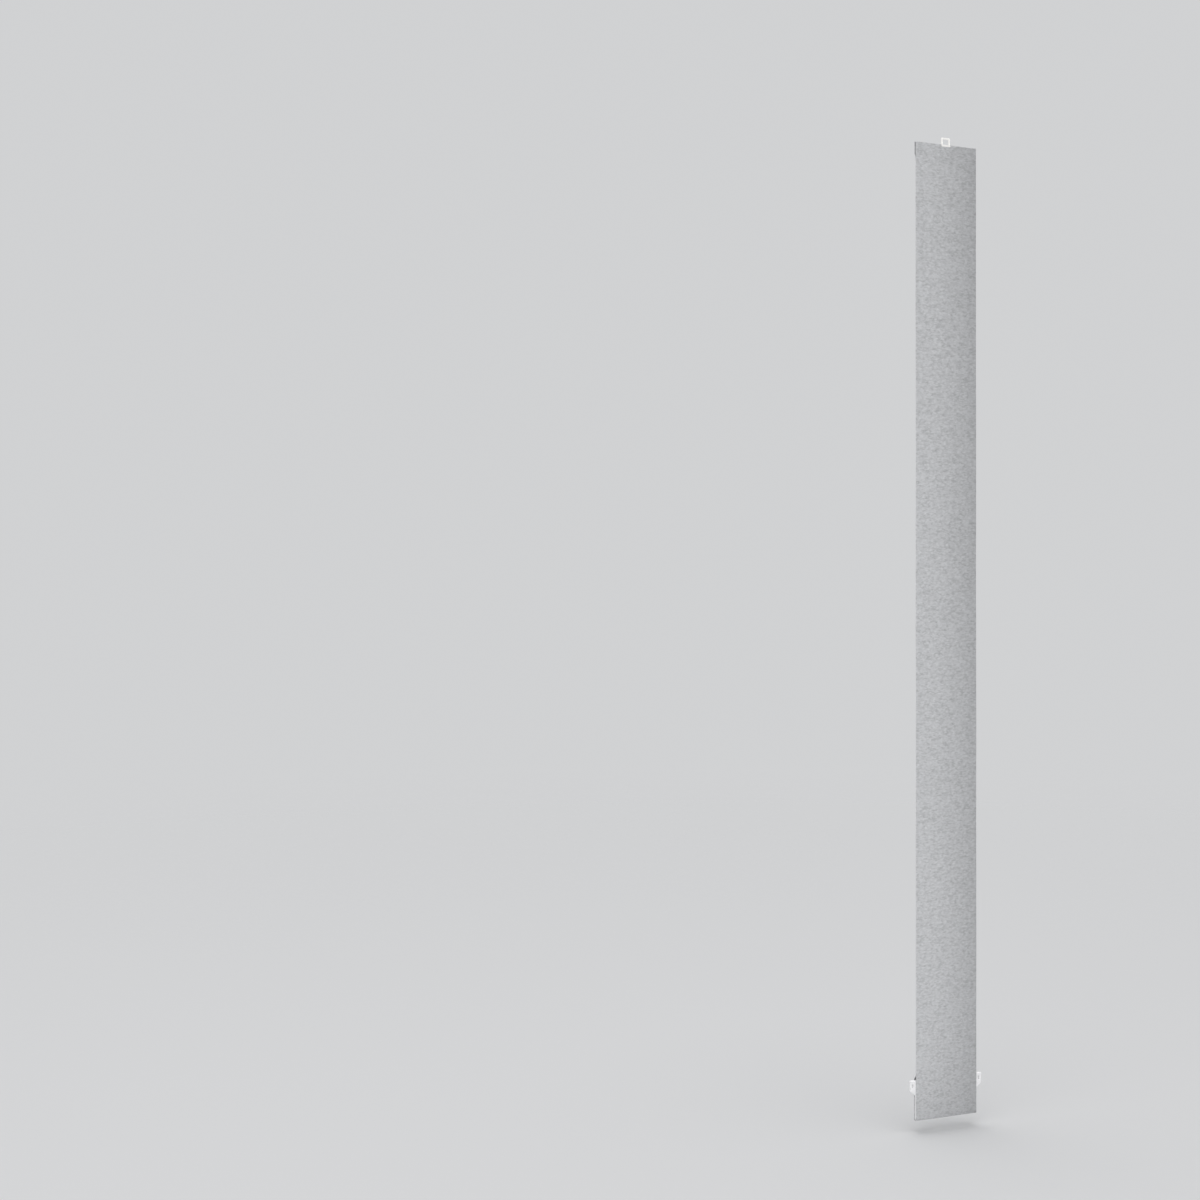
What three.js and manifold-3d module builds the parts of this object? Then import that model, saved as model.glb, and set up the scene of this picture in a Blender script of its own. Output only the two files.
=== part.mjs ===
// A vertical blind vane: one strip of cloth, folded over a moulded hanger at the top and over a flat
// weight at the bottom. The vane hangs by the eye of the hanger, which stands out of a notch in the
// top fold. The weight is a steel plate sealed between a moulded case and its cover, and a slotted lug
// of the case stands out of each side of the cloth.
//
// Sizes are in millimetres. X runs across the vane, -Y is its front and +Z is up. The origin is the
// middle of the underside of the eye's top bar, the face that carries the whole vane.

import * as THREE from "three";
import { mergeVertices, toCreasedNormals } from "three/addons/utils/BufferGeometryUtils.js";
import Module from "manifold-3d";

// Cloth
const vaneWidth = 89;
const vaneDrop = 1213; // top fold to bottom fold
const clothThickness = 0.5;
const insertSlack = 0.3; // air between the cloth and what it is folded round
const foldRadius = 0.8; // inside each turn of a fold
const pocketEase = 8; // height over which a flap closes on the front layer past an insert
const weldBand = 4; // height over which the turned-back flap is welded down

// Eye of the hanger
const eyeOpeningWidth = 8.2;
const eyeOpeningHeight = 6.6;
const eyeBar = 2.2; // width of the bars round the opening
const eyeDepth = 1.7; // front to back
const eyeOuterCorner = 1.4;
const eyeInnerCorner = 0.4;
const eyeStandoff = 6.4; // bearing face of the eye above the top fold
const notchClearance = 0.3; // between the eye and the cut edge of the cloth
const notchCorner = 0.4;

// Blade of the hanger
const bladeInset = 2.5; // from each edge of the cloth
const bladeHeight = 12.5;
const bladeCorner = 3;
const webThickness = 0.8;
const beadWidth = 1.8; // the thicker bead round the rim of the blade
const beadThickness = 1.2;

// Weight
const weightHeight = 49;
const weightInset = 0.3; // from each edge of the cloth
const weightCorner = 1.5;
const frontWall = 0.7;
const rimWall = 1.6;
const plateThickness = 1.5;
const plateClearance = 0.3; // round the plate, round its pegs, and between the plate and the cover
const plateCorner = 1;
const coverThickness = 0.7;
const coverLedge = 0.8; // width of the step in the rim that the cover lies on
const coverClearance = 0.2;
const coverCorner = 0.8;
const pegDiameter = 3.2;
const pegInset = 16; // centre of each peg from the end of the weight

// Lugs of the weight
const lugReach = 8; // beyond the edge of the cloth
const lugRootHeight = 19;
const lugTipHeight = 12.6;
const lugThickness = 2;
const lugFlare = 0.6; // how far a lug thickens towards the end of the weight
const lugCorner = 0.6;
const slotWidth = 2.4;
const slotHeight = 4.8;
const slotFromTip = 3.9; // centre of the slot
const slotFromTop = 6.3;

// Moulded edges, curves and cutting
const edgeBreak = 0.25; // chamfer along the edges of the mouldings
const curveSteps = 8; // straight pieces in each curved stretch
const overcut = 1; // how far a cutting tool passes what it cuts

// Levels, from the bearing face of the eye down
const foldTop = -eyeStandoff;
const foldBottom = foldTop - vaneDrop;
const eyeFloor = -eyeOpeningHeight;
const eyeBottom = eyeFloor - eyeBar;
const notchBottom = Math.min(eyeBottom, foldTop - clothThickness) - notchClearance;
const bladeTop = foldTop - clothThickness - insertSlack;
const bladeBottom = bladeTop - bladeHeight;
const topWeld = bladeBottom - pocketEase;
const topFlapEnd = topWeld - weldBand;
const weightBottom = foldBottom + clothThickness + insertSlack;
const weightTop = weightBottom + weightHeight;
const bottomWeld = weightTop + pocketEase;
const bottomFlapEnd = bottomWeld + weldBand;

// Widths across the vane, and depths from front to back
const eyeWidth = eyeOpeningWidth + 2 * eyeBar;
const bladeWidth = vaneWidth - 2 * bladeInset;
const weightWidth = vaneWidth - 2 * weightInset;
const pegX = weightWidth / 2 - pegInset;
const weightDepth = frontWall + plateThickness + plateClearance + coverThickness;
const caseFront = -weightDepth / 2;
const caseBack = weightDepth / 2;
const plateFront = caseFront + frontWall;
const coverFront = caseBack - coverThickness;
const hangerHollow = beadThickness / 2 + insertSlack;
const weightHollow = weightDepth / 2 + insertSlack;
const hangerFold = Math.min(foldRadius, hangerHollow);
const weightFold = Math.min(foldRadius, weightHollow);

const wasm = await Module();
wasm.setup();

// Solids and meshes
function solidFrom(geometry) {
  const bare = geometry.clone();
  bare.deleteAttribute("normal");
  bare.deleteAttribute("uv");
  const merged = mergeVertices(bare, 1e-4);
  return new wasm.Manifold(
    new wasm.Mesh({
      numProp: 3,
      vertProperties: merged.attributes.position.array,
      triVerts: new Uint32Array(merged.index.array),
    }),
  );
}

function meshFrom(name, solid, material) {
  const { vertProperties, triVerts } = solid.getMesh();
  const geometry = new THREE.BufferGeometry()
    .setAttribute("position", new THREE.BufferAttribute(vertProperties, 3))
    .setIndex(new THREE.BufferAttribute(triVerts, 1));
  const mesh = new THREE.Mesh(toCreasedNormals(geometry, Math.PI / 6), material);
  mesh.name = name;
  return mesh;
}

function join(...solids) {
  return solids.reduce((whole, solid) => whole.add(solid));
}

function cut(solid, ...tools) {
  return tools.reduce((rest, tool) => rest.subtract(tool), solid);
}

// Outlines, drawn as the vane is seen from the front
// A closed outline through corners [x, z, radius], each rounded to its radius.
function roundedOutline(corners, Outline = THREE.Shape) {
  const outline = new Outline();
  corners.forEach(([x, z, radius], i) => {
    const corner = new THREE.Vector2(x, z);
    const [before, after] = [corners.at(i - 1), corners[(i + 1) % corners.length]].map(
      ([nextX, nextZ]) => new THREE.Vector2(nextX, nextZ).sub(corner).normalize(),
    );
    const tangent = radius / Math.tan(before.angleTo(after) / 2);
    const start = before.multiplyScalar(tangent).add(corner);
    const end = after.multiplyScalar(tangent).add(corner);
    if (i === 0) outline.moveTo(start.x, start.y);
    else outline.lineTo(start.x, start.y);
    outline.quadraticCurveTo(x, z, end.x, end.y);
  });
  outline.closePath();
  return outline;
}

function rectangle(width, bottom, top, radius, Outline) {
  const [left, right] = [-width / 2, width / 2];
  return roundedOutline(
    [
      [left, bottom, radius],
      [right, bottom, radius],
      [right, top, radius],
      [left, top, radius],
    ],
    Outline,
  );
}

// An upright slot with round ends about (x, z), which is a circle when its width is its height.
function slot(x, z, width, height) {
  const radius = width / 2;
  const rise = height / 2 - radius;
  const outline = new THREE.Shape();
  outline.absarc(x, z + rise, radius, 0, Math.PI);
  outline.absarc(x, z - rise, radius, Math.PI, 2 * Math.PI);
  outline.closePath();
  return outline;
}

// An outline given its depth from yFront to yBack, with its edges chamfered if asked.
const facing = new THREE.Matrix4().makeBasis(
  new THREE.Vector3(1, 0, 0),
  new THREE.Vector3(0, 0, 1),
  new THREE.Vector3(0, -1, 0),
);

function slab(outline, yFront, yBack, chamfer = 0) {
  const geometry = new THREE.ExtrudeGeometry(outline, {
    depth: yBack - yFront - 2 * chamfer,
    curveSegments: curveSteps,
    bevelEnabled: chamfer > 0,
    bevelThickness: chamfer,
    bevelSize: chamfer,
    bevelOffset: -chamfer,
    bevelSegments: 1,
  });
  return solidFrom(geometry.applyMatrix4(facing).translate(0, yBack - chamfer, 0));
}

function middleSlab(outline, thickness, chamfer) {
  return slab(outline, -thickness / 2, thickness / 2, chamfer);
}

// Cloth
// The strip is drawn in its YZ section. The front is one layer, pulled straight from fold to fold. At
// each end it turns round an insert, and the flap behind is welded to it past the insert's far edge.
function easeTo(path, y0, z0, y1, z1) {
  const middle = (z0 + z1) / 2;
  path.bezierCurveTo(y0, middle, y1, middle, y1, z1);
}

// The turn over a fold at height z, from one face to the other. Up and from are 1 or -1.
function turnFold(path, z, halfDepth, radius, up, from) {
  const turn = up * from;
  const start = from > 0 ? 0 : Math.PI;
  const quarter = (turn * Math.PI) / 2;
  const y = from * (halfDepth - radius);
  path.absarc(y, z - up * radius, radius, start, start + quarter, turn < 0);
  path.absarc(-y, z - up * radius, radius, start + quarter, start + 2 * quarter, turn < 0);
}

function clothSection() {
  const t = clothThickness;
  const top = hangerHollow + t;
  const bottom = weightHollow + t;
  const frontTop = foldTop - hangerFold - t;
  const frontBottom = foldBottom + weightFold + t;
  // The front, back and welded faces at height z, counted in layers behind the vane's front face.
  const face = (z, layers) =>
    THREE.MathUtils.mapLinear(z, frontTop, frontBottom, -top, -bottom) + layers * t;
  const section = new THREE.Shape();
  turnFold(section, foldTop, top, hangerFold + t, 1, 1);
  section.lineTo(-bottom, frontBottom);
  turnFold(section, foldBottom, bottom, weightFold + t, -1, -1);
  section.lineTo(bottom, weightTop);
  easeTo(section, bottom, weightTop, face(bottomWeld, 2), bottomWeld);
  section.lineTo(face(bottomFlapEnd, 2), bottomFlapEnd);
  section.lineTo(face(bottomFlapEnd, 1), bottomFlapEnd);
  section.lineTo(face(topFlapEnd, 1), topFlapEnd);
  section.lineTo(face(topFlapEnd, 2), topFlapEnd);
  section.lineTo(face(topWeld, 2), topWeld);
  easeTo(section, face(topWeld, 2), topWeld, top, bladeBottom);
  section.closePath();
  section.holes.push(
    pocket(foldTop - t, hangerHollow, hangerFold, 1, bladeBottom, topWeld, face(topWeld, 1)),
    pocket(foldBottom + t, weightHollow, weightFold, -1, weightTop, bottomWeld, face(bottomWeld, 1)),
  );
  return section;
}

// The hollow of a pocket: round inside its fold, straight along the front layer, and closing behind.
function pocket(foldInside, halfDepth, radius, up, insertEdge, weld, weldFace) {
  const hollow = new THREE.Path();
  turnFold(hollow, foldInside, halfDepth, radius, up, 1);
  hollow.lineTo(weldFace, weld);
  easeTo(hollow, weldFace, weld, halfDepth, insertEdge);
  hollow.closePath();
  return hollow;
}

function louvreFabric() {
  const across = new THREE.Matrix4().makeBasis(
    new THREE.Vector3(0, 1, 0),
    new THREE.Vector3(0, 0, 1),
    new THREE.Vector3(1, 0, 0),
  );
  const strip = new THREE.ExtrudeGeometry(clothSection(), {
    depth: vaneWidth,
    curveSegments: curveSteps,
    bevelEnabled: false,
  });
  strip.applyMatrix4(across).translate(-vaneWidth / 2, 0, 0);
  const notch = rectangle(eyeWidth + 2 * notchClearance, notchBottom, foldTop + overcut, notchCorner);
  const throughBoth = 2 * (hangerHollow + clothThickness + overcut);
  return cut(solidFrom(strip), middleSlab(notch, throughBoth));
}

// Hanger
// One moulding: a thin web with a bead round its rim, a pad in the middle, and the eye above the pad.
function topHanger() {
  const web = rectangle(bladeWidth, bladeBottom, bladeTop, bladeCorner);
  const bead = rectangle(bladeWidth, bladeBottom, bladeTop, bladeCorner);
  const innerCorner = Math.max(bladeCorner - beadWidth, 0);
  bead.holes.push(
    rectangle(
      bladeWidth - 2 * beadWidth,
      bladeBottom + beadWidth,
      bladeTop - beadWidth,
      innerCorner,
      THREE.Path,
    ),
  );
  const pad = rectangle(eyeWidth, bladeBottom + beadWidth / 2, eyeFloor - eyeBar / 2, 0);
  const eye = rectangle(eyeWidth, eyeBottom, eyeBar, eyeOuterCorner);
  const opening = [eyeOpeningWidth, eyeFloor, 0, eyeInnerCorner];
  eye.holes.push(rectangle(...opening, THREE.Path));
  const blade = join(
    middleSlab(web, webThickness),
    middleSlab(bead, beadThickness, edgeBreak),
    middleSlab(pad, beadThickness),
  );
  return join(
    cut(blade, middleSlab(rectangle(...opening), eyeDepth + overcut)),
    middleSlab(eye, eyeDepth, edgeBreak),
  );
}

// Weight, from its own lower edge up
function insetRectangle(inset, radius) {
  return rectangle(weightWidth - 2 * inset, inset, weightHeight - inset, radius);
}

function lugOutline(side) {
  const root = side * (weightWidth / 2 - rimWall / 2);
  const edge = side * (weightWidth / 2);
  const tip = side * (vaneWidth / 2 + lugReach);
  return roundedOutline([
    [root, weightHeight, 0],
    [root, weightHeight - lugRootHeight, 0],
    [edge, weightHeight - lugRootHeight, 0],
    [tip, weightHeight - lugTipHeight, lugCorner],
    [tip, weightHeight, lugCorner],
  ]);
}

// A slotted plate that flares to nearly the weight's full depth where it leaves the rim.
function lug(side) {
  const slotX = side * (vaneWidth / 2 + lugReach - slotFromTip);
  const outline = lugOutline(side);
  outline.holes.push(slot(slotX, weightHeight - slotFromTop, slotWidth, slotHeight));
  const edge = weightWidth / 2;
  const thick = weightDepth / 2 - edgeBreak;
  const thin = lugThickness / 2;
  const flare = new THREE.Shape(
    [
      [edge - rimWall / 2, -thick],
      [edge, -thick],
      [edge + lugFlare, -thin],
      [edge + lugFlare, thin],
      [edge, thick],
      [edge - rimWall / 2, thick],
    ].map(([x, y]) => new THREE.Vector2(side * x, y)),
  );
  const column = new THREE.ExtrudeGeometry(flare, { depth: weightHeight, bevelEnabled: false });
  const root = slab(lugOutline(side), caseFront, caseBack).intersect(solidFrom(column));
  return join(middleSlab(outline, lugThickness, edgeBreak), root);
}

// The case is a shallow tray: a front wall and a rim, with a step in the rim for the cover.
function weightCase() {
  const body = roundedOutline([
    [-weightWidth / 2, 0, weightCorner],
    [weightWidth / 2, 0, weightCorner],
    [weightWidth / 2, weightHeight, 0],
    [-weightWidth / 2, weightHeight, 0],
  ]);
  const blank = join(slab(body, caseFront, caseBack, edgeBreak), lug(-1), lug(1));
  const tray = cut(
    blank,
    slab(insetRectangle(rimWall, plateCorner), plateFront, caseBack + overcut),
    slab(insetRectangle(rimWall - coverLedge, coverCorner), coverFront, caseBack + overcut),
  );
  const pegs = [-pegX, pegX].map((x) =>
    slab(slot(x, weightHeight / 2, pegDiameter, pegDiameter), plateFront - frontWall / 2, coverFront),
  );
  return join(tray, ...pegs);
}

function weightPlate() {
  const outline = insetRectangle(rimWall + plateClearance, plateCorner);
  const hole = pegDiameter + 2 * plateClearance;
  outline.holes.push(...[-pegX, pegX].map((x) => slot(x, weightHeight / 2, hole, hole)));
  return slab(outline, plateFront, plateFront + plateThickness);
}

function weightCover() {
  return slab(insetRectangle(rimWall - coverLedge + coverClearance, coverCorner), coverFront, caseBack);
}

// Finishes
const cloth = new THREE.MeshStandardMaterial({ color: 0xb2b3b5, roughness: 0.95, metalness: 0 });
const hangerPlastic = new THREE.MeshStandardMaterial({ color: 0xe6e4de, roughness: 0.45, metalness: 0 });
const casePlastic = new THREE.MeshStandardMaterial({ color: 0xebebec, roughness: 0.5, metalness: 0 });
const coverPlastic = new THREE.MeshStandardMaterial({ color: 0xe4e4e5, roughness: 0.55, metalness: 0 });
const steel = new THREE.MeshStandardMaterial({ color: 0x8f9296, roughness: 0.45, metalness: 0.9 });

const weight = new THREE.Group();
weight.position.z = weightBottom;
weight.add(
  meshFrom("weight_case", weightCase(), casePlastic),
  meshFrom("weight_plate", weightPlate(), steel),
  meshFrom("weight_cover", weightCover(), coverPlastic),
);

const vane = new THREE.Group();
vane.add(
  meshFrom("louvre_fabric", louvreFabric(), cloth),
  meshFrom("top_hanger", topHanger(), hangerPlastic),
  weight,
);

export default vane;
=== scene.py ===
"""Looks of a vertical blind vane: its cloth, its hanger and its weight, hung in a plain pale studio.

Lengths are in metres. X runs across the vane, -Y is its front and +Z is up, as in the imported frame.
"""

import logging
import math
from dataclasses import dataclass, field
from enum import Enum

import bpy
import numpy as np
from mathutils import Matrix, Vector


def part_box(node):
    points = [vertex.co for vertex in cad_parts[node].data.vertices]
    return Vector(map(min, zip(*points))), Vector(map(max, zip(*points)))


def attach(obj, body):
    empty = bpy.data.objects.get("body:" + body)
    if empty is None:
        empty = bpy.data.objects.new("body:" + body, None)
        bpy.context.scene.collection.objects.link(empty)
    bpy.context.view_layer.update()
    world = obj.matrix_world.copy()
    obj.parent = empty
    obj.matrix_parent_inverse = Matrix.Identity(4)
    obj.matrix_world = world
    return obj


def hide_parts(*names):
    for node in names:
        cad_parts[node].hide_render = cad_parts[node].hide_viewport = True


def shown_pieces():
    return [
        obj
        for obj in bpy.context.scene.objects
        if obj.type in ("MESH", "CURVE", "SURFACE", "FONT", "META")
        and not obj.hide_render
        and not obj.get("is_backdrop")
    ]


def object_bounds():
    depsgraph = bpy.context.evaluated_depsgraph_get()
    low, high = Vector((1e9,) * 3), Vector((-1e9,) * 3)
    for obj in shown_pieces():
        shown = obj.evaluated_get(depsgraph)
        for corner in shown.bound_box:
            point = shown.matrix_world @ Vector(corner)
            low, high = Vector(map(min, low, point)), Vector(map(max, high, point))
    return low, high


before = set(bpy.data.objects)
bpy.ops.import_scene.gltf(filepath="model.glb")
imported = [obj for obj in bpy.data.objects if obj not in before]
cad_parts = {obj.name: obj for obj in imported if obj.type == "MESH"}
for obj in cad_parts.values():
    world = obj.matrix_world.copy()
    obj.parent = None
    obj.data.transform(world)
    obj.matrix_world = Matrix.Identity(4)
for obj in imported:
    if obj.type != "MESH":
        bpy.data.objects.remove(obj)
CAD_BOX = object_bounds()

log = logging.getLogger("vane")

MM = 0.001

NOISE_MIDDLE = 0.5  # what a noise is on average

Colour = tuple[float, float, float]
Point = tuple[float, float]  # y and z
Place = tuple[float, float, float]
Socket = bpy.types.NodeSocket


class ClothZone(Enum):
    """The parts of the cloth that look different, by their place among its materials."""

    FACE = 0
    WELD = 1
    CUT_EDGE = 2


class Layer(Enum):
    """Which face of the strip, seen along the strip's own outward normal."""

    OUTER = 1
    INNER = -1


class Turn(Enum):
    """Which way a fold closes, up at the top of the vane or down at its foot."""

    UP = 1
    DOWN = -1


class Stretch(Enum):
    """The stretches of the strip, along its length."""

    WELD = "weld"
    FLAP = "flap"
    FOLD = "fold"
    FRONT = "front"


# Shader node building


class Graph:
    """A node tree being wired."""

    def __init__(self, tree: bpy.types.NodeTree) -> None:
        """Starts wiring a tree.

        Args:
            tree: the material's or group's node tree.
        """
        self.tree = tree

    def node(self, kind: str, **settings: object) -> bpy.types.Node:
        """Places a node.

        Args:
            kind: the node's type name in Blender.
            **settings: properties to set on it.

        Returns:
            The new node.
        """
        made = self.tree.nodes.new(kind)
        for name, value in settings.items():
            setattr(made, name, value)
        return made

    def feed(self, target: Socket, source: object) -> None:
        """Joins a socket to another, or sets it to a plain value.

        Args:
            target: the input socket.
            source: an output socket, a number or a tuple.
        """
        if isinstance(source, bpy.types.NodeSocket):
            self.tree.links.new(source, target)
        else:
            target.default_value = source

    def math(self, operation: str, *terms: object) -> Socket:
        """Does arithmetic on sockets and numbers.

        Args:
            operation: the Math node's operation.
            *terms: its inputs in order.

        Returns:
            The result's socket.
        """
        made = self.node("ShaderNodeMath", operation=operation)
        for target, term in zip(made.inputs, terms):
            self.feed(target, term)
        return made.outputs[0]

    def place(self) -> Socket:
        """The point on the object, in metres."""
        return self.node("ShaderNodeTexCoord").outputs["Object"]

    def stretched(self, place: Socket, scale: Place) -> Socket:
        """Scales a place, so that a pattern laid on it is stretched.

        Args:
            place: the place's socket.
            scale: how much denser the pattern is along X, Y and Z.

        Returns:
            The scaled place.
        """
        made = self.node("ShaderNodeVectorMath", operation="MULTIPLY")
        self.feed(made.inputs[0], place)
        made.inputs[1].default_value = scale
        return made.outputs[0]

    def noise(self, place: Socket, size: object, detail: float = 2.0) -> Socket:
        """Lays cloudy noise with features of about the given size.

        Args:
            place: where the noise is read.
            size: the features' size in metres, a number or a socket.
            detail: how many finer layers it has.

        Returns:
            The noise, from 0 to 1.
        """
        made = self.node("ShaderNodeTexNoise")
        self.feed(made.inputs["Vector"], place)
        self.feed(made.inputs["Scale"], self.math("DIVIDE", 1.0, size))
        made.inputs["Detail"].default_value = detail
        made.inputs["Roughness"].default_value = 0.5
        return made.outputs["Fac"]

    def ramp(self, value: Socket, low: float, high: float) -> Socket:
        """Rises smoothly from 0 to 1 as the value goes from low to high.

        Args:
            value: the value's socket.
            low: where the rise starts.
            high: where it ends.

        Returns:
            The ramped value.
        """
        made = self.node("ShaderNodeMapRange", interpolation_type="SMOOTHSTEP")
        self.feed(made.inputs["Value"], value)
        made.inputs["From Min"].default_value = low
        made.inputs["From Max"].default_value = high
        return made.outputs["Result"]

    def toned(self, colour: Colour, tone: Socket) -> Socket:
        """Multiplies a colour by a tone.

        Args:
            colour: the finish's colour.
            tone: how light each point is, about 1 on average.

        Returns:
            The toned colour.
        """
        made = self.node("ShaderNodeVectorMath", operation="SCALE")
        made.inputs[0].default_value = colour
        self.feed(made.inputs["Scale"], tone)
        return made.outputs[0]

    def bumped(self, height: Socket, relief: float) -> Socket:
        """Turns a height into a normal.

        Args:
            height: the height's socket, from 0 to 1.
            relief: how far a height of 1 stands out, in metres.

        Returns:
            The normal.
        """
        made = self.node("ShaderNodeBump")
        made.inputs["Distance"].default_value = relief
        self.feed(made.inputs["Height"], height)
        return made.outputs["Normal"]


class SharedEffect:
    """A shader node group that several finishes use. It is built once."""

    name: str = ""
    inputs: tuple[tuple[str, float], ...] = ()
    outputs: tuple[str, ...] = ()

    def wire(self, graph: Graph, given: bpy.types.Node, made: bpy.types.Node) -> None:
        """Wires the effect from its inputs to its outputs.

        Args:
            graph: the group's tree.
            given: the node that holds the inputs.
            made: the node that takes the outputs.
        """
        raise NotImplementedError

    def tree(self) -> bpy.types.NodeTree:
        """Finds the group, or builds it the first time.

        Returns:
            The group's node tree.
        """
        found = bpy.data.node_groups.get(self.name)
        if found:
            return found
        tree = bpy.data.node_groups.new(self.name, "ShaderNodeTree")
        for label, value in self.inputs:
            socket = tree.interface.new_socket(label, in_out="INPUT", socket_type="NodeSocketFloat")
            socket.default_value = value
        for label in self.outputs:
            tree.interface.new_socket(label, in_out="OUTPUT", socket_type="NodeSocketFloat")
        graph = Graph(tree)
        self.wire(graph, graph.node("NodeGroupInput"), graph.node("NodeGroupOutput"))
        return tree

    def use(self, graph: Graph, **values: float) -> bpy.types.Node:
        """Places the effect in a material.

        Args:
            graph: the material's tree.
            **values: its inputs, with underscores for spaces.

        Returns:
            The group node.
        """
        made = graph.node("ShaderNodeGroup", node_tree=self.tree())
        for label, value in values.items():
            made.inputs[label.replace("_", " ")].default_value = value
        return made


class WovenYarn(SharedEffect):
    """Plain weave of mottled yarn, with short darker slubs lying across the strip."""

    name = "woven_yarn"
    inputs = (
        ("Thread Pitch", 0.6 * MM),
        ("Mottle Size", 2.5 * MM),
        ("Mottle", 0.2),
        ("Slub Size", 4.1 * MM),
        ("Gap Size", 3.2 * MM),
        ("Slubs", 0.15),
        ("Streaks", 0.28),
        ("Weave Depth", 0.6),
    )
    outputs = ("Tone", "Height")

    # Threads, which wander slowly and pass over each other within a soft crossing; the tone is painted
    # darker where the weave sinks between the threads and lighter on their tops, as painted shade
    drift_size = 9 * MM
    crossing = 0.15
    weave_middle = 0.7
    weave_shade = 0.12

    # Streaks of fibre and clouds of mottle, both longer across the strip than up it
    streak_lie = (0.22, 1, 1)
    streak_pitches = 1.4
    mottle_lie = (0.62, 1, 1)

    # Slubs, which run along one level of a noise, fray at their edges and break off in gaps
    slub_lie = (0.44, 1, 1)
    slub_level = 0.47
    slub_core = 0.03
    slub_edge = 0.11
    slub_fray = 0.16
    slub_height = 0.5
    gap_lie = (0.6, 1, 1)
    gap_level = 0.35
    whole_level = 0.58

    def wire(self, graph: Graph, given: bpy.types.Node, made: bpy.types.Node) -> None:
        """Wires the weave, the fibres, the mottle, the slubs and the painted shade between the threads.

        Args:
            graph: the group's tree.
            given: the node that holds the inputs.
            made: the node that takes the outputs.
        """
        place = graph.place()
        weave = self.weave(graph, place, given.outputs["Thread Pitch"])
        streak_size = graph.math("MULTIPLY", given.outputs["Thread Pitch"], self.streak_pitches)
        streaks = graph.noise(graph.stretched(place, self.streak_lie), streak_size, 1.0)
        fibre = graph.math("SUBTRACT", streaks, NOISE_MIDDLE)
        mottle = graph.noise(graph.stretched(place, self.mottle_lie), given.outputs["Mottle Size"], 1.0)
        cloud = graph.math("SUBTRACT", mottle, NOISE_MIDDLE)

        slub = graph.noise(graph.stretched(place, self.slub_lie), given.outputs["Slub Size"], 1.0)
        beside = graph.math("ABSOLUTE", graph.math("SUBTRACT", slub, self.slub_level))
        frayed = graph.math("ADD", beside, graph.math("MULTIPLY", fibre, self.slub_fray))
        line = graph.ramp(frayed, self.slub_edge, self.slub_core)
        patches = graph.noise(graph.stretched(place, self.gap_lie), given.outputs["Gap Size"], 1.0)
        dark = graph.math("MULTIPLY", line, graph.ramp(patches, self.gap_level, self.whole_level))

        lift = graph.math("MULTIPLY", cloud, graph.math("MULTIPLY", given.outputs["Mottle"], 2.0))
        drop = graph.math("MULTIPLY", dark, given.outputs["Slubs"])
        tone = graph.math("SUBTRACT", graph.math("ADD", lift, 1.0), drop)
        tone = graph.math("ADD", tone, graph.math("MULTIPLY", fibre, given.outputs["Streaks"]))
        depth = given.outputs["Weave Depth"]
        # Painted shade: the tone is darker where the weave sinks between the threads and lighter where
        # it rises
        painted_shade_depth = graph.math("MULTIPLY", depth, self.weave_shade)
        shade = graph.math("MULTIPLY", graph.math("SUBTRACT", weave, self.weave_middle), painted_shade_depth)
        graph.feed(made.inputs["Tone"], graph.math("ADD", tone, shade))
        raised = graph.math("MULTIPLY", weave, depth)
        thick = graph.math("MULTIPLY", slub, self.slub_height)
        graph.feed(made.inputs["Height"], graph.math("ADD", raised, thick))

    def weave(self, graph: Graph, place: Socket, pitch: Socket) -> Socket:
        """Wires a plain weave of round threads.

        Args:
            graph: the group's tree.
            place: where the weave is read.
            pitch: the distance from thread to thread.

        Returns:
            The height of the upper thread, from 0 to 1.
        """
        drift = graph.noise(place, self.drift_size)
        parts = graph.node("ShaderNodeSeparateXYZ")
        graph.feed(parts.inputs[0], place)
        threads = []
        for axis in ("X", "Z"):
            turns = graph.math("DIVIDE", parts.outputs[axis], pitch)
            turns = graph.math("ADD", turns, drift)
            threads.append(graph.math("SINE", graph.math("MULTIPLY", turns, math.pi)))
        warp, weft = (graph.math("ABSOLUTE", thread) for thread in threads)
        over = graph.ramp(graph.math("MULTIPLY", *threads), -self.crossing, self.crossing)
        gap = graph.math("SUBTRACT", warp, weft)
        return graph.math("ADD", weft, graph.math("MULTIPLY", gap, over))


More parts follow.
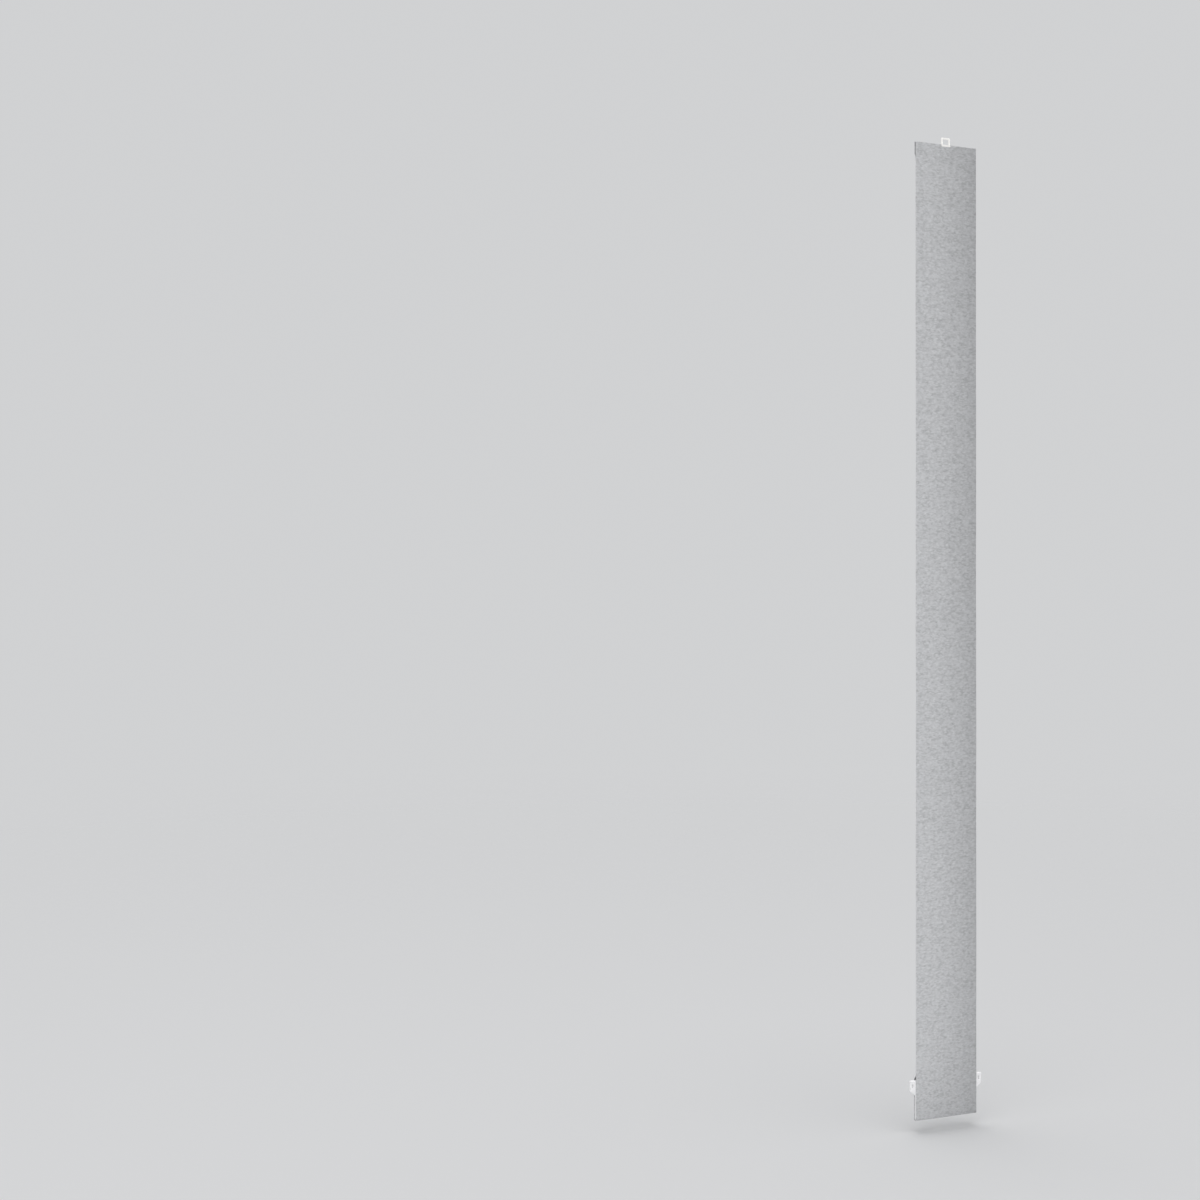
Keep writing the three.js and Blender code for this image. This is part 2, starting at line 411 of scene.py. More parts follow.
class MouldedSkin(SharedEffect):
    """The skin of a moulded plastic piece: a fine grain, slow waves and faint handling marks."""

    name = "moulded_skin"
    inputs = (("Grain Size", 0.25 * MM), ("Marks", 0.3))
    outputs = ("Tone", "Roughness", "Height")

    # Slow waves, and smears that are longer up the vane than across it
    wave_size = 4 * MM
    wave_tone = 0.08
    smear_size = 2.5 * MM
    smear_lie = (1, 1, 0.4)
    smear_start = 0.45
    smear_full = 0.75
    mark_tone = 0.05

    # Roughness of the bare skin, and what the grain and the marks add to it
    bare_roughness = 0.34
    grain_roughness = 0.16
    mark_roughness = 0.25

    def wire(self, graph: Graph, given: bpy.types.Node, made: bpy.types.Node) -> None:
        """Wires the grain, the waves and the marks.

        Args:
            graph: the group's tree.
            given: the node that holds the inputs.
            made: the node that takes the outputs.
        """
        place = graph.place()
        grain = graph.noise(place, given.outputs["Grain Size"], 3.0)
        waves = graph.noise(place, self.wave_size, 1.0)
        smears = graph.noise(graph.stretched(place, self.smear_lie), self.smear_size)
        smeared = graph.ramp(smears, self.smear_start, self.smear_full)
        marks = graph.math("MULTIPLY", smeared, given.outputs["Marks"])
        faded = graph.math("MULTIPLY", graph.math("SUBTRACT", waves, NOISE_MIDDLE), self.wave_tone)
        lost = graph.math("MULTIPLY", marks, self.mark_tone)
        graph.feed(made.inputs["Tone"], graph.math("SUBTRACT", graph.math("ADD", faded, 1.0), lost))
        grained = graph.math("MULTIPLY", grain, self.grain_roughness)
        rough = graph.math("ADD", grained, self.bare_roughness)
        worn = graph.math("MULTIPLY", marks, self.mark_roughness)
        graph.feed(made.inputs["Roughness"], graph.math("ADD", rough, worn))
        graph.feed(made.inputs["Height"], graph.math("ADD", grain, waves))


# Finishes


@dataclass(frozen=True)
class ClothFinish:
    """Heathered cloth."""

    name: str
    colour: Colour
    roughness: float
    sheen: float
    relief: float
    mottle: float
    slubs: float
    weave_depth: float
    sheen_roughness: float = 0.6
    specular: float = 0.2

    def material(self) -> bpy.types.Material:
        """Builds the cloth's material.

        Returns:
            The material.
        """
        material, graph, surface = blank_material(self.name)
        yarn = WovenYarn().use(
            graph, Mottle=self.mottle, Slubs=self.slubs, Weave_Depth=self.weave_depth
        )
        graph.feed(surface.inputs["Base Color"], graph.toned(self.colour, yarn.outputs["Tone"]))
        graph.feed(surface.inputs["Normal"], graph.bumped(yarn.outputs["Height"], self.relief))
        surface.inputs["Roughness"].default_value = self.roughness
        surface.inputs["Sheen Weight"].default_value = self.sheen
        surface.inputs["Sheen Roughness"].default_value = self.sheen_roughness
        surface.inputs["Specular IOR Level"].default_value = self.specular
        return material


@dataclass(frozen=True)
class PlasticFinish:
    """Moulded white plastic."""

    name: str
    colour: Colour
    grain_size: float
    marks: float
    relief: float

    def material(self) -> bpy.types.Material:
        """Builds the plastic's material.

        Returns:
            The material.
        """
        material, graph, surface = blank_material(self.name)
        skin = MouldedSkin().use(graph, Grain_Size=self.grain_size, Marks=self.marks)
        graph.feed(surface.inputs["Base Color"], graph.toned(self.colour, skin.outputs["Tone"]))
        graph.feed(surface.inputs["Roughness"], skin.outputs["Roughness"])
        graph.feed(surface.inputs["Normal"], graph.bumped(skin.outputs["Height"], self.relief))
        return material


@dataclass(frozen=True)
class SteelFinish:
    """Rolled steel sheet, with fine lines along the way it was rolled."""

    name: str
    colour: Colour
    relief: float
    line_size: float = 0.15 * MM
    line_lie: Place = (0.02, 1, 1)
    line_roughness: float = 0.3
    bare_roughness: float = 0.3
    stain_size: float = 7 * MM
    stain_tone: float = 0.3

    def material(self) -> bpy.types.Material:
        """Builds the steel's material.

        Returns:
            The material.
        """
        material, graph, surface = blank_material(self.name)
        lines = graph.noise(graph.stretched(graph.place(), self.line_lie), self.line_size, 4.0)
        stains = graph.math("MULTIPLY", graph.noise(graph.place(), self.stain_size), self.stain_tone)
        tone = graph.math("ADD", stains, 1 - NOISE_MIDDLE * self.stain_tone)
        lined = graph.math("MULTIPLY", lines, self.line_roughness)
        graph.feed(surface.inputs["Base Color"], graph.toned(self.colour, tone))
        graph.feed(surface.inputs["Roughness"], graph.math("ADD", lined, self.bare_roughness))
        graph.feed(surface.inputs["Normal"], graph.bumped(lines, self.relief))
        surface.inputs["Metallic"].default_value = 1.0
        return material


@dataclass(frozen=True)
class FloorFinish:
    """The pale floor, which fades into the pale surroundings away from the vane."""

    name: str
    colour: Colour
    fade_start: float
    fade_end: float
    roughness: float = 0.9
    specular: float = 0.1

    def material(self) -> bpy.types.Material:
        """Builds the floor's material.

        Returns:
            The material.
        """
        material, graph, surface = blank_material(self.name)
        surface.inputs["Base Color"].default_value = (*self.colour, 1)
        surface.inputs["Roughness"].default_value = self.roughness
        surface.inputs["Specular IOR Level"].default_value = self.specular
        reach = graph.node("ShaderNodeVectorMath", operation="LENGTH")
        graph.feed(reach.inputs[0], graph.place())
        faded = graph.ramp(reach.outputs["Value"], self.fade_start, self.fade_end)
        clear = graph.node("ShaderNodeBsdfTransparent")
        blend = graph.node("ShaderNodeMixShader")
        graph.feed(blend.inputs[0], faded)
        graph.feed(blend.inputs[1], surface.outputs[0])
        graph.feed(blend.inputs[2], clear.outputs[0])
        graph.feed(graph.tree.nodes["Material Output"].inputs["Surface"], blend.outputs[0])
        return material


def blank_material(name: str) -> tuple[bpy.types.Material, Graph, bpy.types.Node]:
    """Starts a material.

    Args:
        name: the finish's name.

    Returns:
        The material, its graph and its surface shader.
    """
    material = bpy.data.materials.new(name)
    material.use_nodes = True
    graph = Graph(material.node_tree)
    return material, graph, material.node_tree.nodes["Principled BSDF"]


CLOTH_FACE = ClothFinish(
    name="grey_heather_cloth",
    colour=(0.502, 0.5075, 0.519),
    roughness=0.92,
    sheen=0.15,
    relief=0.10 * MM,
    mottle=0.213,
    slubs=0.138,
    weave_depth=0.8,
)
CLOTH_WELD = ClothFinish(
    name="welded_cloth",
    colour=(0.47, 0.475, 0.486),
    roughness=0.7,
    sheen=0.05,
    relief=0.04 * MM,
    mottle=0.17,
    slubs=0.12,
    weave_depth=0.4,
)
CLOTH_EDGE = ClothFinish(
    name="cut_cloth_edge",
    colour=(0.535, 0.541, 0.553),
    roughness=0.8,
    sheen=0.1,
    relief=0.06 * MM,
    mottle=0.14,
    slubs=0.08,
    weave_depth=0.3,
)
HANGER_PLASTIC = PlasticFinish(
    name="hanger_plastic",
    colour=(0.87, 0.86, 0.835),
    grain_size=0.3 * MM,
    marks=0.3,
    relief=0.012 * MM,
)
CASE_PLASTIC = PlasticFinish(
    name="case_plastic",
    colour=(0.82, 0.82, 0.83),
    grain_size=0.25 * MM,
    marks=0.3,
    relief=0.012 * MM,
)
COVER_PLASTIC = PlasticFinish(
    name="cover_plastic",
    colour=(0.80, 0.80, 0.81),
    grain_size=0.4 * MM,
    marks=0.4,
    relief=0.02 * MM,
)
ROLLED_STEEL = SteelFinish(name="rolled_steel", colour=(0.52, 0.53, 0.54), relief=0.01 * MM)
PALE_FLOOR = FloorFinish(
    name="pale_floor", colour=(0.80, 0.805, 0.815), fade_start=1.4, fade_end=4.5
)


# The cloth


@dataclass
class Pocket:
    """One end of the strip, folded over an insert and welded to the front layer past it."""

    fold_z: float
    insert_z: float
    half_depth: float
    turn: Turn
    ease: float
    weld_band: float

    @property
    def weld_z(self) -> float:
        """The height at which the flap meets the front layer."""
        return self.insert_z - self.turn.value * self.ease

    @property
    def end_z(self) -> float:
        """The height of the flap's cut end."""
        return self.weld_z - self.turn.value * self.weld_band


@dataclass(frozen=True)
class Wave:
    """A wave of the free cloth down its drop, which can grow towards the strip's edges."""

    share: float
    rate: float
    start: float
    growth: int

    def lean(self, across: np.ndarray, z: np.ndarray) -> np.ndarray:
        """How far the wave stands out, by the share of the half width and by the height."""
        return self.share * np.sin(z * self.rate + self.start) * across**self.growth


SWAY_WAVES = (
    Wave(share=0.5, rate=21, start=0.6, growth=0),
    Wave(share=0.3, rate=47, start=1.9, growth=1),
    Wave(share=0.35, rate=12.5, start=2.4, growth=2),
    Wave(share=0.12, rate=95, start=0, growth=3),
)


@dataclass
class ClothStrip:
    """The strip of cloth, turned over the hanger and the weight."""

    thickness: float = 0.5 * MM
    fold_radius: float = 0.8 * MM
    ease: float = 8 * MM
    weld_band: float = 4 * MM
    top_half_depth: float = 1.4 * MM
    notch_half_width: float = 6.6 * MM
    notch_floor: float = -9.1 * MM
    column: float = 1.5 * MM
    row: float = 4 * MM
    fine_row: float = 1 * MM
    weld_row: float = 0.25 * MM
    edge_row: float = 0.3 * MM
    fold_points: int = 9
    notch_points: int = 6
    soft_edge: float = 0.1 * MM
    press_depth: float = 0.14 * MM
    press_lines: int = 3
    press_start: float = 0.1
    press_end: float = 0.95
    sway: float = 0.25 * MM
    sway_rise: float = 60 * MM
    name: str = "cloth_strip"
    node: str = "louvre_fabric"
    finishes: dict[ClothZone, ClothFinish] = field(
        default_factory=lambda: {
            ClothZone.FACE: CLOTH_FACE,
            ClothZone.WELD: CLOTH_WELD,
            ClothZone.CUT_EDGE: CLOTH_EDGE,
        }
    )
    half_width: float = field(init=False)
    top: Pocket = field(init=False)
    bottom: Pocket = field(init=False)

    def __post_init__(self) -> None:
        """Takes the strip's reach and its inserts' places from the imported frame."""
        low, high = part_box(self.node)
        hanger_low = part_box("top_hanger")[0]
        case_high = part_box("weight_case")[1]
        self.half_width = high.x
        shared = (self.ease, self.weld_band)
        self.top = Pocket(high.z, hanger_low.z, self.top_half_depth, Turn.UP, *shared)
        self.bottom = Pocket(low.z, case_high.z, high.y, Turn.DOWN, *shared)

    def front_y(self, z: float, layers: float) -> float:
        """Places a face of the layers, which the weight pulls straight from fold to fold.

        Args:
            z: the height.
            layers: how many thicknesses of cloth the face lies behind the vane's front.

        Returns:
            The face's Y.
        """
        start = self.folded(self.top)[-1]
        end = self.folded(self.bottom)[-1]
        share = (z - start[1]) / (end[1] - start[1])
        return start[0] + share * (end[0] - start[0]) + (layers - 0.5) * self.thickness

    def straight(self, start: Point, end: Point, step: float) -> list[Point]:
        """Divides a straight stretch of the section evenly.

        Args:
            start: the first point, as y and z.
            end: the last point.
            step: the longest distance between points.

        Returns:
            The points after the first, up to the last.
        """
        count = max(1, math.ceil(math.dist(start, end) / step))
        return [
            tuple(a + (b - a) * i / count for a, b in zip(start, end)) for i in range(1, count + 1)
        ]

    def eased(self, start: Point, end: Point, step: float) -> list[Point]:
        """Runs smoothly between two upright stretches of the section.

        Args:
            start: the first point, as y and z.
            end: the last point.
            step: the distance between points.

        Returns:
            The points after the first, up to the last.
        """
        count = max(2, round(abs(end[1] - start[1]) / step))
        middle = (start[1] + end[1]) / 2
        run = []
        for i in range(1, count + 1):
            t = i / count
            near, far = (1 - t) ** 2, t**2
            leaving, arriving = near * (1 + 2 * t), far * (3 - 2 * t)
            z = start[1] * (1 - t) * near + 3 * middle * t * (1 - t) + end[1] * t * far
            run.append((start[0] * leaving + end[0] * arriving, z))
        return run

    def folded(self, pocket: Pocket) -> list[Point]:
        """Goes round a fold's two turns, from the back to the front.

        Args:
            pocket: the end of the strip that is folded.

        Returns:
            The points of the fold's middle line.
        """
        hollow = pocket.half_depth - self.thickness
        inner = min(self.fold_radius, hollow)
        radius = inner + self.thickness / 2
        up = pocket.turn.value
        centre_z = pocket.fold_z - up * (inner + self.thickness)
        points = []
        for side, first, last in ((1, 0, 90), (-1, 90, 180)):
            for angle in np.radians(np.linspace(first, last, self.fold_points)):
                y = side * (hollow - inner) + radius * math.cos(angle)
                points.append((y, centre_z + up * radius * math.sin(angle)))
        return points

    def folded_end(self, pocket: Pocket) -> list[tuple[Stretch, list[Point]]]:
        """Follows one end of the strip, from the flap's cut end over the fold.

        Args:
            pocket: the end of the strip that is folded.

        Returns:
            The end's stretches in order, with their points.
        """
        up = pocket.turn.value
        cut_end = (self.front_y(pocket.end_z, 1.5), pocket.end_z)
        weld = (self.front_y(pocket.weld_z, 1.5), pocket.weld_z)
        near_end = (cut_end[0], cut_end[1] + up * self.edge_row)
        behind = (pocket.half_depth - self.thickness / 2, pocket.insert_z)
        fold = self.folded(pocket)
        flap = self.eased(weld, behind, self.fine_row)
        if pocket.turn is Turn.UP:
            notch = (behind[0], self.notch_floor)
            flap += self.straight(behind, notch, self.fine_row)
            behind = notch
        return [
            (Stretch.WELD, [cut_end, near_end, *self.straight(near_end, weld, self.weld_row)]),
            (Stretch.FLAP, flap + self.straight(behind, fold[0], self.row / 2)),
            (Stretch.FOLD, fold[1:]),
        ]

    def section(self) -> tuple[np.ndarray, list[Stretch]]:
        """Follows the strip's middle line from the top flap's cut end to the bottom flap's.

        Returns:
            The points, as rows of y and z, and the stretch that each lies on.
        """
        top, bottom = self.folded_end(self.top), self.folded_end(self.bottom)
        start, end = top[-1][1][-1], bottom[-1][1][-1]
        notch = (self.front_y(self.notch_floor, 0.5), self.notch_floor)
        front = self.straight(start, notch, self.fine_row) + self.straight(notch, end, self.row)
        backwards = [(stretch, points[::-1]) for stretch, points in reversed(bottom)]
        line, kinds = [], []
        for stretch, points in [*top, (Stretch.FRONT, front[:-1]), *backwards]:
            line += points
            kinds += [stretch] * len(points)
        return np.array(line), kinds

    def columns(self) -> np.ndarray:
        """Divides the width, with lines on the edges and on the notch's sides.

        Returns:
            The places across, from left to right.
        """
        half, notch = self.half_width, self.notch_half_width
        inside = np.linspace(0, notch, self.notch_points)
        outside = np.linspace(notch, half - self.edge_row, math.ceil((half - notch) / self.column))
        right = np.concatenate([inside, outside[1:], [half]])
        return np.concatenate([-right[:0:-1], right])

    def swayed(self, x: np.ndarray, z: np.ndarray) -> np.ndarray:
        """Gives the slight waves of cloth that hangs free between its two pockets.

        Args:
            x: the places across.
            z: the heights.

        Returns:
            How far each place stands forward or back.
        """
        below = np.clip((self.top.weld_z - z) / self.sway_rise, 0, 1)
        above = np.clip((z - self.bottom.weld_z) / self.sway_rise, 0, 1)
        free = (below * above) ** 2 * (3 - 2 * below * above)
        across = x / self.half_width
        return self.sway * free * sum(wave.lean(across, z) for wave in SWAY_WAVES)

    def pressed(self, line: np.ndarray, kinds: list[Stretch]) -> np.ndarray:
        """Tells how deep the weld's lines are pressed into the flap at each point of the section.

        Args:
            line: the middle line of the section.
            kinds: the stretch that each point lies on.

        Returns:
            The depth at each point.
        """
        depth = np.zeros(len(line))
        pressed_band = self.press_end - self.press_start
        for row, ((_, z), kind) in enumerate(zip(line, kinds)):
            pocket = self.top if z > self.bottom.end_z else self.bottom
            share = abs(z - pocket.end_z) / self.weld_band
            if kind is Stretch.WELD and self.press_start < share < self.press_end:
                turns = self.press_lines * (share - self.press_start) / pressed_band
                depth[row] = self.press_depth * (0.5 - 0.5 * math.cos(math.tau * turns))
        return depth

    def in_notch(self, x: float, z: float) -> bool:
        """Tells whether a point of the cloth is cut away for the eye."""
        return abs(x) < self.notch_half_width and z > self.notch_floor

    def cloth_cells(self, line: np.ndarray, x: np.ndarray) -> np.ndarray:
        """Tells which cells of the grid are cloth, and not cut away for the eye.

        Args:
            line: the middle line of the section.
            x: the places across.

        Returns:
            A grid of true and false, a cell between each four points.
        """
        centres_z = (line[:-1, 1] + line[1:, 1]) / 2
        centres_x = (x[:-1] + x[1:]) / 2
        return np.array([[not self.in_notch(cx, cz) for cx in centres_x] for cz in centres_z])

    def lean(self, cell: np.ndarray) -> tuple[np.ndarray, np.ndarray, np.ndarray]:
        """Finds the points on the cut edges, and how each leans towards the missing cells.

        Args:
            cell: which cells of the grid are cloth.

        Returns:
            Each point's lean across and along the strip, of length 1 on a cut edge and 0 elsewhere,
            then which points touch the cloth, and which of those lie on its cut edges.
        """
        rows, across = cell.shape[0] + 1, cell.shape[1] + 1
        lean = np.zeros((rows, across, 2))
        padded = np.pad(cell, 1)
        used = np.zeros((rows, across), bool)
        for down in (0, 1):
            for right in (0, 1):
                there = padded[down : down + rows, right : right + across]
                used |= there
                lean[:, :, 0] -= there * (2 * right - 1)
                lean[:, :, 1] -= there * (2 * down - 1)
        length = np.linalg.norm(lean, axis=2)
        lean /= np.where(length > 0, length, 1)[:, :, None]
        return lean, used, used & (length > 0)

    def build(self) -> bpy.types.Object:
        """Builds the strip as one closed mesh.

        Returns:
            The strip.
        """
        line, kinds = self.section()
        x = self.columns()
        tangent = np.gradient(line, axis=0)
        tangent /= np.linalg.norm(tangent, axis=1)[:, None]
        normal = np.stack([tangent[:, 1], -tangent[:, 0]], axis=1)
        cell = self.cloth_cells(line, x)
        lean, used, rim = self.lean(cell)
        grooves = self.pressed(line, kinds)

        middle = np.zeros((*used.shape, 3))
        middle[:, :, 0] = x
        middle[:, :, 1:] = line[:, None, :]
        outward = np.zeros_like(middle)
        outward[:, :, 1:] = normal[:, None, :]
        along = np.zeros_like(middle)
        along[:, :, 1:] = tangent[:, None, :]
        on_front = np.array([kind is Stretch.FRONT for kind in kinds])
        middle[on_front, :, 1] += self.swayed(x[None, :], line[on_front, 1][:, None])
        outwards = lean[:, :, :1] * np.array([1.0, 0, 0]) + lean[:, :, 1:] * along

        points, index = [], {}
        for layer in Layer:
            offset = layer.value * self.thickness / 2
            cut = grooves if layer is Layer.OUTER else 0 * grooves
            spot = middle + outward * (offset - cut[:, None, None]) - outwards * self.soft_edge
            index[layer] = np.full(used.shape, -1)
            index[layer][used] = len(points) + np.arange(used.sum())
            points.extend(spot[used].tolist())
        middle_index = np.full(used.shape, -1)
        middle_index[rim] = len(points) + np.arange(rim.sum())
        points.extend(middle[rim].tolist())

        faces, zones = self.faces(cell, index, middle_index, grooves > 0)
        mesh = bpy.data.meshes.new(self.name)
        mesh.from_pydata(points, [], faces)
        for zone in ClothZone:
            mesh.materials.append(self.finishes[zone].material())
        mesh.polygons.foreach_set("material_index", zones)
        mesh.polygons.foreach_set("use_smooth", [True] * len(faces))
        mesh.update()
        strip = bpy.data.objects.new(self.name, mesh)
        bpy.context.scene.collection.objects.link(strip)
        return strip

    def faces(
        self,
        cell: np.ndarray,
        index: dict[Layer, np.ndarray],
        middle_index: np.ndarray,
        pressed_rows: np.ndarray,
    ) -> tuple[list[list[int]], list[int]]:
        """Joins the points into the strip's two faces and its soft cut edges.

        Args:
            cell: which cells of the grid are cloth.
            index: the number of each grid point on each layer.
            middle_index: the number of each grid point half way through a cut edge.
            pressed_rows: which rows of points lie in a pressed line.

        Returns:
            The faces, and the number of the material of each.
        """
        faces, zones = [], []
        rows, across = cell.shape
        for j in range(rows):
            zone = ClothZone.WELD if pressed_rows[j] or pressed_rows[j + 1] else ClothZone.FACE
            for i in range(across):
                if not cell[j, i]:
                    continue
                ring = [(j, i), (j, i + 1), (j + 1, i + 1), (j + 1, i)]
                faces.append([index[Layer.OUTER][c] for c in ring])
                faces.append([index[Layer.INNER][c] for c in reversed(ring)])
                zones += [zone.value, ClothZone.FACE.value]
                for a, b in zip(ring, ring[1:] + ring[:1]):
                    if self.neighbour(cell, a, b):
                        continue
                    for outer, inner in (
                        (index[Layer.OUTER], middle_index),
                        (middle_index, index[Layer.INNER]),
                    ):
                        faces.append([outer[b], outer[a], inner[a], inner[b]])
                        zones.append(ClothZone.CUT_EDGE.value)
        return faces, zones

    def neighbour(self, cell: np.ndarray, a: tuple[int, int], b: tuple[int, int]) -> bool:
        """Tells whether an edge of the grid has cloth on both sides.

        Args:
            cell: which cells of the grid are cloth.
            a: the edge's first point, as row and column.
            b: its second point.

        Returns:
            True if both cells beside the edge are cloth.
        """
        if a[0] == b[0]:
            beside = [(a[0] - 1, min(a[1], b[1])), (a[0], min(a[1], b[1]))]
        else:
            beside = [(min(a[0], b[0]), a[1] - 1), (min(a[0], b[0]), a[1])]
        rows, across = cell.shape
        return all(0 <= j < rows and 0 <= i < across and cell[j, i] for j, i in beside)

    def flat_length(self) -> float:
        """The length of the strip's middle line, which is its length when laid flat."""
        line, _ = self.section()
        return float(np.linalg.norm(np.diff(line, axis=0), axis=1).sum())

    def hang(self) -> None:
        """Builds the strip and attaches it to the root body."""
        strip = self.build()
        length = self.flat_length()
        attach(strip, "root")
        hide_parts(self.node)
        log.info("%s: %.0f mm of cloth, %d faces", strip.name, length / MM, len(strip.data.polygons))


# The mouldings and the plate


@dataclass
class DressedNode:
    """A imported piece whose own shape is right, given its finish."""

    node: str
    finish: PlasticFinish | SteelFinish

    def dress(self) -> None:
        """Puts the finish on the piece."""
        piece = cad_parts[self.node]
        for place in piece.material_slots:
            place.material = self.finish.material()
        log.info("%s: %s", self.node, self.finish.name)


@dataclass
class Hanger:
    """The hanger: an eye over a flat blade, moulded in one."""

    moulding: DressedNode = field(default_factory=lambda: DressedNode("top_hanger", HANGER_PLASTIC))

    def dress(self) -> None:
        """Finishes the hanger."""
        self.moulding.dress()


@dataclass
class Weight:
    """The weight: a steel plate between a case with lugs and its cover."""

    case: DressedNode = field(default_factory=lambda: DressedNode("weight_case", CASE_PLASTIC))
    cover: DressedNode = field(default_factory=lambda: DressedNode("weight_cover", COVER_PLASTIC))
    plate: DressedNode = field(default_factory=lambda: DressedNode("weight_plate", ROLLED_STEEL))

    def dress(self) -> None:
        """Finishes the weight's three pieces."""
        for piece in (self.case, self.cover, self.plate):
            piece.dress()


# The studio


@dataclass
class Studio:
    """A pale floor under the vane, soft light and the camera."""

    floor_gap: float = 15 * MM
    floor_radius: float = 6.0
    floor_sides: int = 96
    turn: float = math.radians(22.5)
    camera_ahead: float = 2081.0 * MM
    camera_aside: float = 431.3 * MM
    camera_height: float = -574.6 * MM
    lens: float = 50.0
    sensor: float = 36.0
    sky_seen: Colour = (0.635, 0.641, 0.65)
    sky_light: float = 0.235
    top_strength: float = 2.0
    top_spread: float = math.radians(50)
    soft_size: float = 1.6
    key_power: float = 7.0
    key_place: Place = (-1.3, 1.9, 1.7)
    back_power: float = 46.0
    back_place: Place = (1.5, -1.9, 0.4)
    side_power: float = 20.0
    side_place: Place = (-1.75, 0.85, 0.2)
    fill_power: float = 25.0
    fill_place: Place = (0.6, 1.7, -0.3)
    strip_power: float = 0.73
    strip_ahead: float = 0.11
    strip_width: float = 0.04
    strip_top: float = 0.45
    strip_foot: float = -1.262

    def forward(self) -> np.ndarray:
        """The level direction that the camera looks in."""
        return np.array([math.sin(self.turn), math.cos(self.turn), 0.0])

    def right(self) -> np.ndarray:
        """The direction to the right of the picture."""
        return np.array([math.cos(self.turn), -math.sin(self.turn), 0.0])

    def add(self, name: str, data: bpy.types.ID) -> bpy.types.Object:
        """Puts an object in the scene.

        Args:
            name: its name.
            data: its mesh, light or camera.

        Returns:
            The object.
        """
        made = bpy.data.objects.new(name, data)
        bpy.context.scene.collection.objects.link(made)
        return made

    def panel(
        self, name: str, corners: list[Place], material: bpy.types.Material
    ) -> bpy.types.Object:
        """Stands a flat panel in the studio.

        Args:
            name: its name.
            corners: its corners in order.
            material: its material.

        Returns:
            The panel.
        """
        mesh = bpy.data.meshes.new(name)
        mesh.from_pydata(corners, [], [tuple(range(len(corners)))])
        mesh.materials.append(material)
        panel = self.add(name, mesh)
        panel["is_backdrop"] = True
        return panel

    def lay_floor(self) -> None:
        """Lays the floor a little below the vane's foot."""
        ring = [math.tau * i / self.floor_sides for i in range(self.floor_sides)]
        corners = [(self.floor_radius * math.cos(a), self.floor_radius * math.sin(a), 0) for a in ring]
        floor = self.panel("floor", corners, PALE_FLOOR.material())
        floor.location.z = CAD_BOX[0].z - self.floor_gap
        log.info("floor: %.0f mm under the vane", self.floor_gap / MM)

    def light_sky(self) -> None:
        """Makes the surroundings pale, and dimmer as a light than they look."""
        world = bpy.data.worlds.new("pale_surroundings")
        world.use_nodes = True
        bpy.context.scene.world = world
        graph = Graph(world.node_tree)
        background = world.node_tree.nodes["Background"]
        background.inputs["Color"].default_value = (*self.sky_seen, 1)
        seen = graph.node("ShaderNodeLightPath").outputs["Is Camera Ray"]
        strength = graph.math("ADD", graph.math("MULTIPLY", seen, 1 - self.sky_light), self.sky_light)
        graph.feed(background.inputs["Strength"], strength)

    def soft_light(self, name: str, power: float, place: Place) -> bpy.types.Object:
        """Hangs a large soft light that faces the middle of the vane.

        Args:
            name: its name.
            power: its power in watts.
            place: where it hangs, to the right of the vane, towards the camera and up.

        Returns:
            The light.
        """
        lamp = bpy.data.lights.new(name, "AREA")
        lamp.size = self.soft_size
        lamp.energy = power
        light = self.add(name, lamp)
        aside, back, up = place
        target = np.array([0, 0, (CAD_BOX[0].z + CAD_BOX[1].z) / 2])
        aim(light, aside * self.right() - back * self.forward() + np.array([0, 0, up]), target)
        light.visible_camera = False
        log.info("%s: %.0f W", name, power)
        return light

    def keep_to(self, light: bpy.types.Object, lit: list[bpy.types.Object]) -> None:
        """Makes a light fall on some of the vane's pieces alone, shaded only by the vane.

        Args:
            light: the light.
            lit: the pieces that it lights.
        """
        linking = light.light_linking
        linking.receiver_collection = bpy.data.collections.new(light.name + "_falls_on")
        linking.blocker_collection = bpy.data.collections.new(light.name + "_shaded_by")
        for piece in lit:
            linking.receiver_collection.objects.link(piece)
        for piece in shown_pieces():
            linking.blocker_collection.objects.link(piece)

    def light_top(self) -> None:
        """Hangs a wide soft light straight over the vane, mostly for the floor."""
        lamp = bpy.data.lights.new("top_light", "SUN")
        lamp.energy = self.top_strength
        lamp.angle = self.top_spread
        self.add("top_light", lamp)
        log.info("top light: %.2f", self.top_strength)

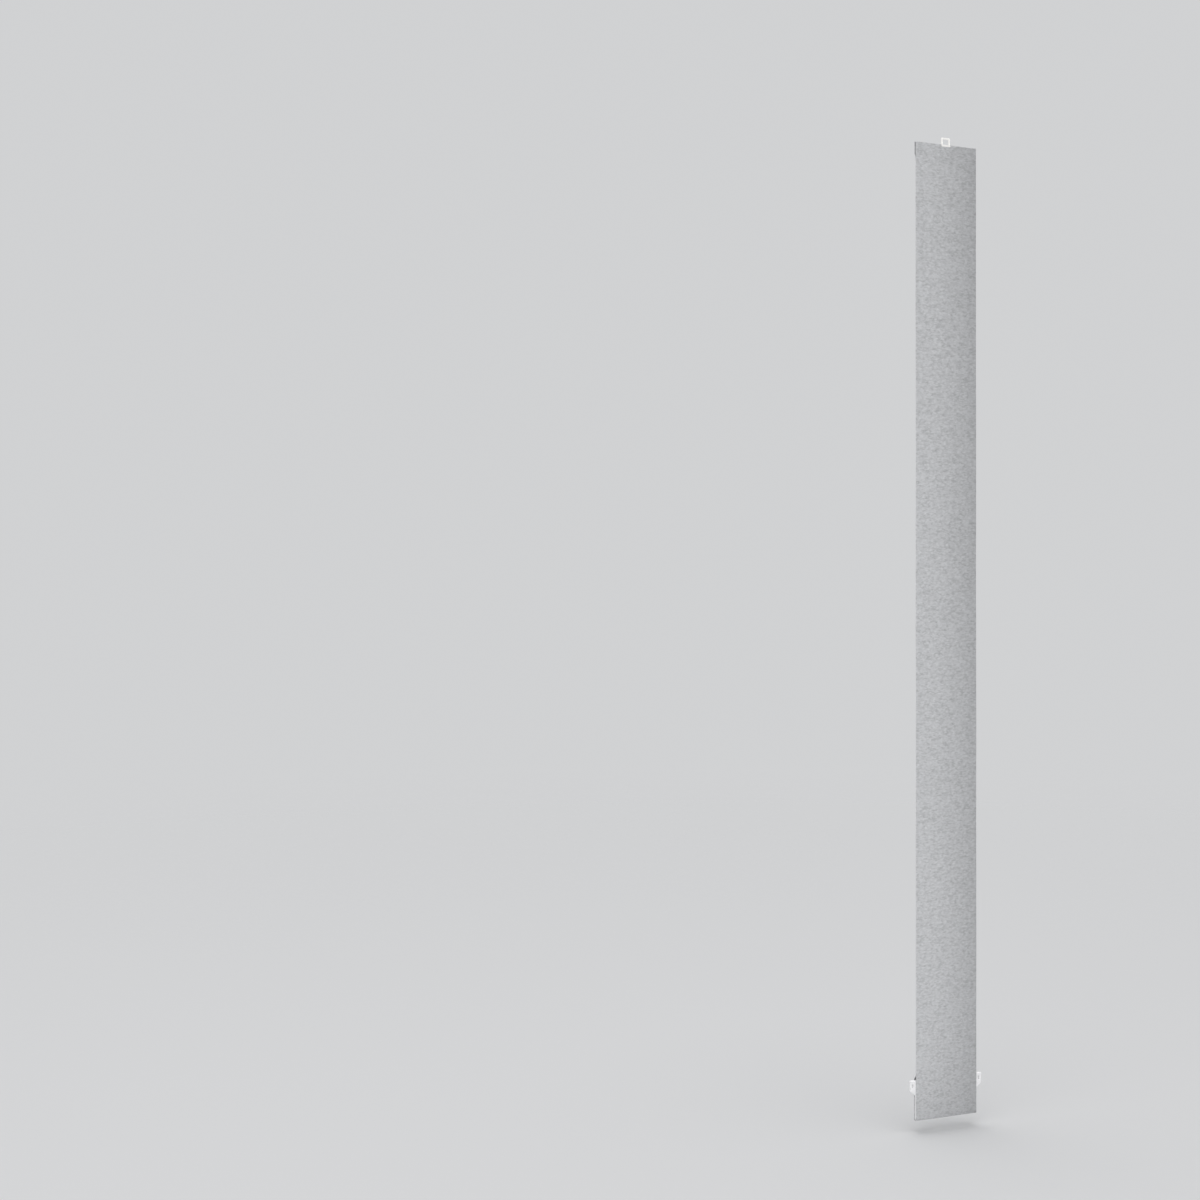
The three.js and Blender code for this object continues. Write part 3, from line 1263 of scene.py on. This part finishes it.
    def light_strip(self, lit: list[bpy.types.Object]) -> None:
        """Stands a tall narrow light in front of the vane's left edge, which the camera can't see.

        Args:
            lit: the pieces that it lights.
        """
        lamp = bpy.data.lights.new("strip_light", "AREA")
        lamp.shape = "RECTANGLE"
        lamp.size = self.strip_width
        lamp.size_y = self.strip_top - self.strip_foot
        lamp.energy = self.strip_power
        strip = self.add("strip_light", lamp)
        middle = (self.strip_top + self.strip_foot) / 2
        place = np.array([CAD_BOX[0].x, -self.strip_ahead, middle])
        aim(strip, place, np.array([0, 0, middle]))
        strip.visible_camera = False
        self.keep_to(strip, lit)
        log.info("strip light: %.2f W", self.strip_power)

    def stand_camera(self) -> None:
        """Stands the camera where the photograph was taken from."""
        data = bpy.data.cameras.new("camera")
        data.lens = self.lens
        data.sensor_width = self.sensor
        camera = self.add("camera", data)
        place = -self.camera_ahead * self.forward() - self.camera_aside * self.right()
        camera.location = (place[0], place[1], self.camera_height)
        camera.rotation_euler = (math.pi / 2, 0, -self.turn)
        bpy.context.scene.camera = camera

    def build(self, pieces: list[bpy.types.Object]) -> None:
        """Builds the studio.

        Args:
            pieces: the vane's pieces.
        """
        bpy.context.scene.view_settings.view_transform = "Standard"
        self.stand_camera()
        self.lay_floor()
        self.light_sky()
        self.soft_light("key_light", self.key_power, self.key_place)
        self.keep_to(self.soft_light("back_light", self.back_power, self.back_place), pieces)
        self.keep_to(self.soft_light("side_light", self.side_power, self.side_place), pieces)
        cloth = [piece for piece in pieces if piece.name == "cloth_strip"]
        mouldings = [piece for piece in pieces if piece not in cloth]
        self.keep_to(self.soft_light("fill_light", self.fill_power, self.fill_place), mouldings)
        self.light_top()
        self.light_strip(cloth)


def aim(lamp: bpy.types.Object, place: np.ndarray, target: np.ndarray) -> None:
    """Places a lamp and turns it to face a point.

    Args:
        lamp: the lamp.
        place: where it stands.
        target: the point it faces.
    """
    lamp.location = place
    lamp.rotation_euler = Vector(target - place).to_track_quat("-Z", "Y").to_euler()


def main() -> None:
    """Clears the default scene and builds the vane and its studio."""
    logging.basicConfig(level=logging.INFO, format="%(name)s: %(message)s")
    for name in ("Cube", "Light", "Camera"):
        stray = bpy.data.objects.get(name)
        if stray:
            bpy.data.objects.remove(stray)
    ClothStrip().hang()
    Hanger().dress()
    Weight().dress()
    Studio().build(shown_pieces())


if __name__ == "__main__":
    main()
